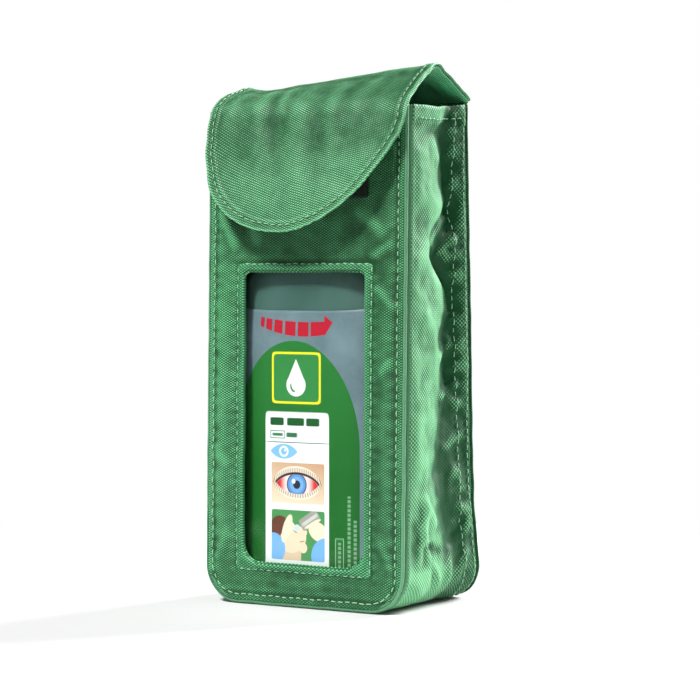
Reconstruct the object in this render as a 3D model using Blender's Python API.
"""A pocket eyewash station: an oval bottle of saline with an eye cup, in a windowed belt pouch.

The origin is the centre of the pouch's foot. The window faces -Y and the belt loop faces +Y.
Driving sizes are in millimetres and become metres when a mesh is made.
"""
import math

import bmesh
import bpy
from mathutils import Vector

MM = 0.001
GAP = 0.3

# The pouch: a front panel, a back panel, and one gusset that runs down, under and up again.
HALF_WIDTH = 44.25
HEIGHT = 190.0
FRONT_TOP, GUSSET_TOP, BACK_TOP = 183.5, 187.0, 189.8
CLOTH = 1.4
FRONT_FOOT_Y, FRONT_TOP_Y = -28.8, -25.3
BACK_PROFILE = [(33.4, 0.0), (32.6, 3.0), (30.3, 15.0), (26.2, 39.0), (24.5, 77.0), (23.5, 115.0),
                (21.8, 154.0), (20.5, 190.0)]
FOOT_RADIUS = 12.0
PIPING = 1.2
PANEL_INSET = 2 * PIPING + GAP

# The window and its folded edge.
WINDOW_HALF, WINDOW_LOW, WINDOW_HIGH = 27.0, 16.0, 126.5
WINDOW_CORNER = 8.0
EDGE_WIDTH, EDGE_THICK = 3.0, 0.7
PANE_THICK, PANE_LAP = 0.5, 4.5

# The flap: a crown over the mouth, and a rounded lip that hangs in front.
FLAP_LAYER = 0.9
HINGE = (21.4, 192.4)
CROWN_PROFILE = [(21.2, 192.4), (10.0, 197.6), (-4.0, 203.2), (-9.0, 201.2), (-16.5, 197.0),
                 (-23.0, 191.8), (-26.2, 188.7)]
FOLD = (-26.33, 188.57)
LIP_PROFILE = [(-26.46, 188.44), (-27.1, 187.8), (-27.9, 185.4), (-28.4, 183.0), (-32.0, 171.0),
               (-36.4, 156.0), (-38.1, 142.0)]
LIP_SQUARE = 3.5

# Hook-and-loop fastener: one patch on the panel, one on the flap's lining.
PATCH_HALF, PATCH_LOW, PATCH_HIGH, PATCH_THICK = 28.0, 150.5, 170.0, 1.0

# The belt loop on the back.
STRAP_HALF, STRAP_THICK, STRAP_STAND = 21.0, 1.8, 6.6
STRAP_HEIGHTS = [92.0, 103.0, 109.0, 163.0, 169.0, 180.0]

# The bottle: an oval body that narrows to a round neck.
BOTTLE_X, BOTTLE_Y = -3.8, -4.2
BOTTLE_WALL = 1.0
BOTTLE_SIDES = 48
BOTTLE_SECTIONS = [(2.0, 29.5, 14.2), (3.4, 32.8, 17.4), (7.0, 35.9, 19.4), (12.0, 36.8, 19.8),
                   (95.0, 36.8, 19.8), (100.0, 36.4, 19.7), (106.0, 35.0, 19.4), (112.0, 32.9, 18.9),
                   (120.0, 29.8, 18.2), (130.0, 26.0, 17.2), (139.0, 20.8, 15.6), (144.5, 15.0, 12.8),
                   (147.0, 10.0, 10.0)]
NECK_RADIUS, NECK_TOP = 10.0, 157.0
LABEL_THICK, LABEL_GAP = 0.2, 0.15
LABEL_FOOT, LABEL_TOP, LABEL_RISE, LABEL_STEPS = 9.0, 111.6, 2.6, 10

# The eye cup and its dust cap, round about the bottle's axis.
CUP_FLOOR, CUP_RIM, CUP_MOUTH = 158.6, 168.2, 15.0
SKIRT_RADIUS, SKIRT_BORE, SKIRT_FOOT = 12.6, 10.4, 149.6
SPOUT_RADIUS = 3.0
CAP_RADIUS, CAP_BORE, CAP_FOOT, CAP_TOP = 17.2, 16.0, 152.0, 171.6
CAP_RIBS = 30
LINER_FOOT, LINER_TOP = 168.6, 169.9
ROUND_SIDES = 48

COLOURS = {
    "nylon_green": ((0.020, 0.300, 0.095, 1.0), 0.62),
    "nylon_dark": ((0.012, 0.150, 0.055, 1.0), 0.70),
    "piping_green": ((0.040, 0.380, 0.150, 1.0), 0.60),
    "clear_film": ((0.85, 0.90, 0.90, 0.35), 0.08),
    "hook_and_loop": ((0.012, 0.045, 0.022, 1.0), 0.95),
    "bottle_plastic": ((0.24, 0.30, 0.30, 0.85), 0.28),
    "saline": ((0.70, 0.82, 0.84, 0.5), 0.05),
    "label_film": ((0.62, 0.74, 0.82, 1.0), 0.35),
    "cap_plastic": ((0.05, 0.32, 0.14, 1.0), 0.35),
    "cup_plastic": ((0.82, 0.86, 0.88, 1.0), 0.30),
    "seal_rubber": ((0.08, 0.08, 0.09, 1.0), 0.80),
}


def clear_scene():
    for thing in list(bpy.data.objects):
        bpy.data.objects.remove(thing, do_unlink=True)


def material(name):
    """One Principled material for each kind of stuff, made once."""
    found = bpy.data.materials.get(name)
    if found:
        return found
    colour, roughness = COLOURS[name]
    made = bpy.data.materials.new(name)
    made.use_nodes = True
    shader = made.node_tree.nodes["Principled BSDF"]
    shader.inputs["Base Color"].default_value = colour
    shader.inputs["Roughness"].default_value = roughness
    shader.inputs["Metallic"].default_value = 0.0
    shader.inputs["Alpha"].default_value = colour[3]
    return made


def joint_empty(name, place, parent=None):
    """An empty on a joint's axis, which the moving pieces are parented to."""
    empty = bpy.data.objects.new(name, None)
    empty.empty_display_size = 0.01
    bpy.context.scene.collection.objects.link(empty)
    empty.location = Vector(place) * MM
    if parent:
        empty.parent = parent
        empty.location -= parent.matrix_world.translation
    bpy.context.view_layer.update()
    return empty


def finish_mesh(name, bm, stuff, parent=None):
    """Turns a bmesh in millimetres into an object in metres, with its origin on its parent."""
    bmesh.ops.recalc_face_normals(bm, faces=bm.faces)
    if bm.calc_volume(signed=True) < 0:
        bmesh.ops.reverse_faces(bm, faces=bm.faces)
    origin = parent.matrix_world.translation if parent else Vector()
    for vert in bm.verts:
        vert.co = vert.co * MM - origin
    mesh = bpy.data.meshes.new(name)
    bm.to_mesh(mesh)
    bm.free()
    thing = bpy.data.objects.new(name, mesh)
    thing.parent = parent
    mesh.materials.append(material(stuff))
    bpy.context.scene.collection.objects.link(thing)
    return thing


def arc(centre, radius, start, end, steps):
    """Points on a circle, from one angle to another in degrees."""
    angles = [math.radians(start + (end - start) * i / steps) for i in range(steps + 1)]
    return [(centre[0] + radius * math.cos(a), centre[1] + radius * math.sin(a)) for a in angles]


def rounded_rectangle(half, low, high, low_radius, high_radius, steps=6):
    """An outline in (x, z), anticlockwise, with its own radius for the top and the bottom corners."""
    points = arc((-half + low_radius, low + low_radius), low_radius, 180, 270, steps)
    points += arc((half - low_radius, low + low_radius), low_radius, 270, 360, steps)
    if high_radius:
        points += arc((half - high_radius, high - high_radius), high_radius, 0, 90, steps)
        points += arc((-half + high_radius, high - high_radius), high_radius, 90, 180, steps)
    else:
        points += [(half, high), (-half, high)]
    return points


def along(profile, distance):
    """The stretch of a profile at this distance along it, and how far into that stretch."""
    for i, (start, end) in enumerate(zip(profile, profile[1:])):
        length = math.dist(start, end)
        if distance <= length or i == len(profile) - 2:
            return i, distance / length
        distance -= length


def mitres(profile):
    """The offset direction at each point of a profile, longer at a bend so a layer keeps its thickness."""
    normals = []
    for start, end in zip(profile, profile[1:]):
        length = math.dist(start, end)
        normals.append(Vector(((end[1] - start[1]) / length, -(end[0] - start[0]) / length)))
    joined = [normals[0]]
    for first, second in zip(normals, normals[1:]):
        middle = (first + second).normalized()
        joined.append(middle / middle.dot(first))
    return joined + [normals[-1]]


def knots(profile):
    """The distance along a profile of each of its points."""
    found = [0.0]
    for start, end in zip(profile, profile[1:]):
        found.append(found[-1] + math.dist(start, end))
    return found


def bent_by(profile, side, lift=0.0):
    """Places (x, distance along the profile, depth) on a profile in (y, z), offset to one side."""
    normals = mitres(profile)

    def place(x, distance, depth):
        i, part = along(profile, distance)
        point = Vector(profile[i]).lerp(Vector(profile[i + 1]), part)
        normal = normals[i].lerp(normals[i + 1], part)
        point += normal * side * (depth + lift)
        return Vector((x, point[0], point[1]))

    return place


def sheet_solid(name, outline, place, thick, stuff, parent=None, hole=None, cuts=(), across=()):
    """A layer of cloth or film: a flat outline, cut where it bends, thickened and put in place."""
    bm = bmesh.new()
    edges = []
    for loop in (outline, hole or []):
        verts = [bm.verts.new((a, b, 0.0)) for a, b in loop]
        edges += [bm.edges.new((verts[i - 1], verts[i])) for i in range(len(verts))]
    bmesh.ops.triangle_fill(bm, use_beauty=True, use_dissolve=False, edges=edges)
    planes = [((0, b, 0), (0, 1, 0)) for b in cuts] + [((a, 0, 0), (1, 0, 0)) for a in across]
    for point, normal in planes:
        everything = bm.verts[:] + bm.edges[:] + bm.faces[:]
        bmesh.ops.bisect_plane(bm, geom=everything, dist=1e-5, plane_co=point, plane_no=normal)
    bmesh.ops.triangulate(bm, faces=bm.faces)
    raised = bmesh.ops.extrude_face_region(bm, geom=bm.faces[:], use_keep_orig=True)
    for vert in [item for item in raised["geom"] if isinstance(item, bmesh.types.BMVert)]:
        vert.co.z = thick
    for vert in bm.verts:
        vert.co = place(*vert.co)
    return finish_mesh(name, bm, stuff, parent)


def front_y(z):
    """The front panel's outer face, which leans back a little as it rises."""
    return FRONT_FOOT_Y + (FRONT_TOP_Y - FRONT_FOOT_Y) * z / HEIGHT


def back_y(z):
    """The back panel's outer face, which flares at the foot."""
    for (y0, z0), (y1, z1) in zip(BACK_PROFILE, BACK_PROFILE[1:]):
        if z <= z1:
            return y0 + (y1 - y0) * (z - z0) / (z1 - z0)
    return BACK_PROFILE[-1][0]


def on_front(depth_first):
    """Places (x, z, depth) on the front panel, with depth measured into the pouch."""
    return lambda x, z, depth: Vector((x, front_y(z) + depth_first + depth, z))


def on_back(depth_first):
    """Places (x, z, depth) on the back panel, with depth measured into the pouch."""
    return lambda x, z, depth: Vector((x, back_y(z) - depth_first - depth, z))


def u_path(inset, top, steps=6):
    """The pouch's side, foot and other side as points in (x, z), set in from its outline."""
    half, radius = HALF_WIDTH - inset, FOOT_RADIUS - inset
    left = arc((-half + radius, inset + radius), radius, 180, 270, steps)
    right = arc((half - radius, inset + radius), radius, 270, 360, steps)
    return [(-half, top)] + left + right + [(half, top)]


def piping(name, y_of, top):
    """A cord of cloth round the pouch's edge, from one top corner to the other."""
    curve = bpy.data.curves.new(name, "CURVE")
    curve.dimensions = "3D"
    curve.bevel_depth = PIPING * MM
    curve.bevel_resolution = 1
    curve.use_fill_caps = True
    path = u_path(PIPING, top)
    heights = [z for y, z in reversed(BACK_PROFILE) if FOOT_RADIUS < z < top]
    path = path[:1] + [(path[0][0], z) for z in heights] + path[1:-1] \
        + [(path[-1][0], z) for z in reversed(heights)] + path[-1:]
    spline = curve.splines.new("POLY")
    spline.points.add(len(path) - 1)
    for point, (x, z) in zip(spline.points, path):
        point.co = (x * MM, y_of(z) * MM, z * MM, 1.0)
    thing = bpy.data.objects.new(name, curve)
    curve.materials.append(material("piping_green"))
    bpy.context.scene.collection.objects.link(thing)
    return thing


def gusset():
    """One strip of cloth that makes both sides and the foot, as deep as the panels are apart."""
    path = u_path(0.0, GUSSET_TOP)
    heights = [z for y, z in reversed(BACK_PROFILE) if FOOT_RADIUS < z < GUSSET_TOP]
    path = path[:1] + [(path[0][0], z) for z in heights] + path[1:-1] \
        + [(path[-1][0], z) for z in reversed(heights)] + path[-1:]
    normals = mitres(path)

    def place(part, distance, depth):
        i, share = along(path, distance)
        point = Vector(path[i]).lerp(Vector(path[i + 1]), share)
        near, far = front_y(point[1]) + PANEL_INSET, back_y(point[1]) - PANEL_INSET
        point -= normals[i].lerp(normals[i + 1], share) * depth
        return Vector((point[0], near + (far - near) * part, point[1]))

    marks = knots(path)
    outline = [(0.0, 0.0), (1.0, 0.0), (1.0, marks[-1]), (0.0, marks[-1])]
    return sheet_solid("gusset", outline, place, CLOTH, "nylon_green", cuts=marks[1:-1])


def pouch():
    heights = [z for y, z in BACK_PROFILE if PANEL_INSET < z < BACK_TOP]
    half, radius = HALF_WIDTH - PANEL_INSET, FOOT_RADIUS - PANEL_INSET
    front, back = [rounded_rectangle(half, PANEL_INSET, top, radius, 0) for top in (FRONT_TOP, BACK_TOP)]
    window = rounded_rectangle(WINDOW_HALF, WINDOW_LOW, WINDOW_HIGH, WINDOW_CORNER, 3.0)
    sheet_solid("front_panel", front, on_front(0), CLOTH, "nylon_green", hole=window)
    sheet_solid("back_panel", back, on_back(0), CLOTH, "nylon_green", cuts=heights)
    edge = rounded_rectangle(WINDOW_HALF + EDGE_WIDTH, WINDOW_LOW - EDGE_WIDTH,
                             WINDOW_HIGH + EDGE_WIDTH, WINDOW_CORNER + EDGE_WIDTH, 4.0)
    sheet_solid("window_edge_binding", edge, on_front(-GAP - EDGE_THICK), EDGE_THICK, "piping_green",
                hole=window)
    pane = rounded_rectangle(WINDOW_HALF + PANE_LAP, WINDOW_LOW - PANE_LAP, WINDOW_HIGH + PANE_LAP,
                             WINDOW_CORNER, 3.0)
    sheet_solid("window_pane", pane, on_front(CLOTH + GAP), PANE_THICK, "clear_film")
    gusset()
    piping("front_piping", lambda z: front_y(z) + PIPING, FRONT_TOP)
    piping("back_piping", lambda z: back_y(z) - PIPING, BACK_TOP)
    patch = rounded_rectangle(PATCH_HALF, PATCH_LOW, PATCH_HIGH, 3.0, 3.0)
    sheet_solid("loop_patch", patch, on_front(-GAP - PATCH_THICK), PATCH_THICK, "hook_and_loop")
    belt_loop()


def belt_loop():
    """Webbing sewn to the back at its ends, standing off between them to take a belt."""
    profile = [(back_y(z) + GAP, z) for z in STRAP_HEIGHTS]
    stand_y = back_y(STRAP_HEIGHTS[2]) + STRAP_STAND
    for i in (2, 3):
        profile[i] = (stand_y, STRAP_HEIGHTS[i])
    marks = knots(profile)
    outline = [(-STRAP_HALF, 0.0), (STRAP_HALF, 0.0), (STRAP_HALF, marks[-1]), (-STRAP_HALF, marks[-1])]
    sheet_solid("belt_loop", outline, bent_by(profile, 1), STRAP_THICK, "nylon_dark", cuts=marks[1:-1])


def lip_outline(inset):
    """The rounded lip in (x, distance down the lip): square at the fold, then nearly a half circle."""
    half, length = HALF_WIDTH - inset, knots(LIP_PROFILE)[-1] - inset
    points = [(half, 0.0), (half, LIP_SQUARE)]
    for i in range(1, 24):
        angle = math.pi * i / 24
        points.append((half * math.cos(angle), LIP_SQUARE + (length - LIP_SQUARE) * math.sin(angle)))
    return points + [(-half, LIP_SQUARE), (-half, 0.0)]


def flap(crown_hinge, lip_hinge):
    """Two layers of cloth, cut at the fold into a crown and a lip, with the hook patch inside."""
    marks = knots(CROWN_PROFILE)
    below = FLAP_LAYER + GAP
    for name, stuff, lift, half in (("flap_crown_cover", "nylon_green", 0.0, HALF_WIDTH),
                                    ("flap_crown_lining", "nylon_dark", below, HALF_WIDTH - 1.0)):
        outline = [(-half, 0.0), (half, 0.0), (half, marks[-1]), (-half, marks[-1])]
        sheet_solid(name, outline, bent_by(CROWN_PROFILE, -1, lift), FLAP_LAYER, stuff, crown_hinge,
                    cuts=marks[1:-1])
    marks = knots(LIP_PROFILE)
    for name, stuff, lift, inset in (("flap_lip_cover", "nylon_green", 0.0, 0.0),
                                     ("flap_lip_lining", "nylon_dark", below, 1.0)):
        sheet_solid(name, lip_outline(inset), bent_by(LIP_PROFILE, -1, lift), FLAP_LAYER, stuff,
                    lip_hinge, cuts=marks[1:-1])
    top = marks[4] - 1.0
    patch = rounded_rectangle(PATCH_HALF - 4.0, top, top + 17.0, 3.0, 3.0)
    sheet_solid("hook_patch", patch, bent_by(LIP_PROFILE, -1, 2 * below), PATCH_THICK,
                "hook_and_loop", lip_hinge, cuts=marks[1:-1])


def section_at(z):
    """The bottle's half width and half depth at a height."""
    for (z0, a0, b0), (z1, a1, b1) in zip(BOTTLE_SECTIONS, BOTTLE_SECTIONS[1:]):
        if z <= z1:
            part = max(0.0, (z - z0) / (z1 - z0))
            return a0 + (a1 - a0) * part, b0 + (b1 - b0) * part
    return NECK_RADIUS, NECK_RADIUS


def ring_of(bm, z, half_width, half_depth, sides):
    angles = [math.tau * i / sides for i in range(sides)]
    return [bm.verts.new((BOTTLE_X + half_width * math.cos(a), BOTTLE_Y + half_depth * math.sin(a), z))
            for a in angles]


def loft(name, rings, stuff, parent, sides, closed_ring=False):
    """A body of stacked oval rings (z, half width, half depth), capped at both ends or joined in a loop."""
    bm = bmesh.new()
    made = [ring_of(bm, *ring, sides) for ring in rings]
    pairs = list(zip(made, made[1:])) + ([(made[-1], made[0])] if closed_ring else [])
    for low, high in pairs:
        for i in range(sides):
            bm.faces.new((low[i - 1], low[i], high[i], high[i - 1]))
    if not closed_ring:
        bm.faces.new(made[0])
        bm.faces.new(made[-1])
    return finish_mesh(name, bm, stuff, parent)


def bottle(slide):
    outside = BOTTLE_SECTIONS + [(NECK_TOP, NECK_RADIUS, NECK_RADIUS)]
    inside = [(z + (BOTTLE_WALL if i < 2 else 0.0), a - BOTTLE_WALL, b - BOTTLE_WALL)
              for i, (z, a, b) in enumerate(BOTTLE_SECTIONS)]
    inside.append((NECK_TOP, NECK_RADIUS - BOTTLE_WALL, NECK_RADIUS - BOTTLE_WALL))
    loft("bottle_shell", outside + inside[::-1], "bottle_plastic", slide, BOTTLE_SIDES)
    fill = [(z + (GAP if i < 2 else 0.0), a - GAP, b - GAP) for i, (z, a, b) in enumerate(inside[:-1])]
    fill.append((NECK_TOP - 4.0, fill[-1][1], fill[-1][2]))
    loft("saline_fill", fill, "saline", slide, BOTTLE_SIDES)
    for name, middle in (("label_front", 270.0), ("label_back", 90.0)):
        bottle_label(name, middle, slide)


def bottle_label(name, middle, slide):
    """A printed film on one side of the bottle, whose top edge rises towards its ends."""
    step = 360.0 / BOTTLE_SIDES
    turns = [middle + step * i for i in range(-LABEL_STEPS, LABEL_STEPS + 1)]
    rise = [LABEL_RISE * ((turn - middle) / (step * LABEL_STEPS)) ** 2 for turn in turns]
    top = [(turn, LABEL_TOP + up) for turn, up in zip(turns, rise)]
    outline = [(turns[0], LABEL_FOOT), (turns[-1], LABEL_FOOT)] + top[::-1]

    def place(turn, z, depth):
        half_width, half_depth = section_at(z)
        out = LABEL_GAP + depth
        return Vector((BOTTLE_X + (half_width + out) * math.cos(math.radians(turn)),
                       BOTTLE_Y + (half_depth + out) * math.sin(math.radians(turn)), z))

    heights = [z for z, a, b in BOTTLE_SECTIONS if LABEL_FOOT < z < LABEL_TOP + LABEL_RISE]
    sheet_solid(name, outline, place, LABEL_THICK, "label_film", slide, cuts=heights, across=turns[1:-1])


def turned(name, profile, stuff, parent, hollow=True):
    """A round piece about the bottle's axis, from a profile of (radius, z)."""
    rings = [(z, radius, radius) for radius, z in profile]
    return loft(name, rings, stuff, parent, ROUND_SIDES, closed_ring=hollow)


def eye_cup(slide):
    turned("neck_washer", [(6.4, NECK_TOP + GAP), (9.6, NECK_TOP + GAP), (9.6, NECK_TOP + 1.3),
                           (6.4, NECK_TOP + 1.3)], "seal_rubber", slide)
    hole = SPOUT_RADIUS + GAP
    turned("eye_cup", [(SKIRT_BORE, SKIRT_FOOT), (SKIRT_RADIUS, SKIRT_FOOT), (SKIRT_RADIUS, CUP_FLOOR),
                       (13.4, CUP_FLOOR + 2.4), (CUP_MOUTH, CUP_RIM), (CUP_MOUTH - 1.1, CUP_RIM),
                       (12.2, CUP_FLOOR + 3.0), (10.4, CUP_FLOOR + 1.5), (hole, CUP_FLOOR + 1.3),
                       (hole, CUP_FLOOR + GAP), (SKIRT_BORE, CUP_FLOOR + GAP)], "cup_plastic", slide)
    turned("spray_nozzle", [(1.0, 154.0), (SPOUT_RADIUS, 154.0), (SPOUT_RADIUS, CUP_FLOOR - 3.0),
                            (5.6, CUP_FLOOR - 3.0), (5.6, CUP_FLOOR - 1.6), (SPOUT_RADIUS, CUP_FLOOR - 1.6),
                            (SPOUT_RADIUS, CUP_FLOOR + 2.2), (1.0, CUP_FLOOR + 3.0)], "cup_plastic", slide)
    turned("tamper_ring", [(SKIRT_RADIUS + GAP, SKIRT_FOOT), (CAP_RADIUS - 0.6, SKIRT_FOOT),
                           (CAP_RADIUS - 0.6, CAP_FOOT - GAP), (SKIRT_RADIUS + GAP, CAP_FOOT - GAP)],
           "cap_plastic", slide)


def dust_cap(lift, thread):
    """The cap that keeps the cup clean: a liner that lifts, and a ribbed shell that turns on it."""
    turned("cap_liner", [(CUP_MOUTH + 0.4, LINER_FOOT), (CUP_MOUTH + 0.4, LINER_TOP)], "seal_rubber", lift,
           hollow=False)
    bm = bmesh.new()
    sides = CAP_RIBS * 4
    rings = []
    for radius, z, depth in ((CAP_RADIUS, CAP_FOOT, 0.5), (CAP_RADIUS, CAP_TOP - 1.6, 0.5),
                             (CAP_RADIUS - 1.4, CAP_TOP, 0.0)):
        ring = []
        for i in range(sides):
            angle = math.tau * i / sides
            grown = radius - (depth if i % 4 in (0, 1) else 0.0)
            ring.append(bm.verts.new((BOTTLE_X + grown * math.cos(angle),
                                      BOTTLE_Y + grown * math.sin(angle), z)))
        rings.append(ring)
    inner = [ring_of(bm, z, CAP_BORE, CAP_BORE, sides) for z in (LINER_TOP + GAP, CAP_FOOT)]
    for low, high in ((rings[0], rings[1]), (rings[1], rings[2]), (inner[0], inner[1]), (inner[1], rings[0])):
        for i in range(sides):
            bm.faces.new((low[i - 1], low[i], high[i], high[i - 1]))
    bm.faces.new(rings[2])
    bm.faces.new(inner[0])
    finish_mesh("dust_cap", bm, "cap_plastic", thread)


clear_scene()
pouch()
crown_hinge = joint_empty("flap_hinge", (0.0, HINGE[0], HINGE[1]))
lip_hinge = joint_empty("flap_fold", (0.0, FOLD[0], FOLD[1]), crown_hinge)
flap(crown_hinge, lip_hinge)
bottle_slide = joint_empty("bottle_slide", (BOTTLE_X, BOTTLE_Y, 0.0))
bottle(bottle_slide)
eye_cup(bottle_slide)
cap_lift = joint_empty("cap_lift", (BOTTLE_X, BOTTLE_Y, LINER_FOOT), bottle_slide)
cap_thread = joint_empty("cap_thread", (BOTTLE_X, BOTTLE_Y, LINER_TOP), cap_lift)
dust_cap(cap_lift, cap_thread)
bpy.context.view_layer.update()
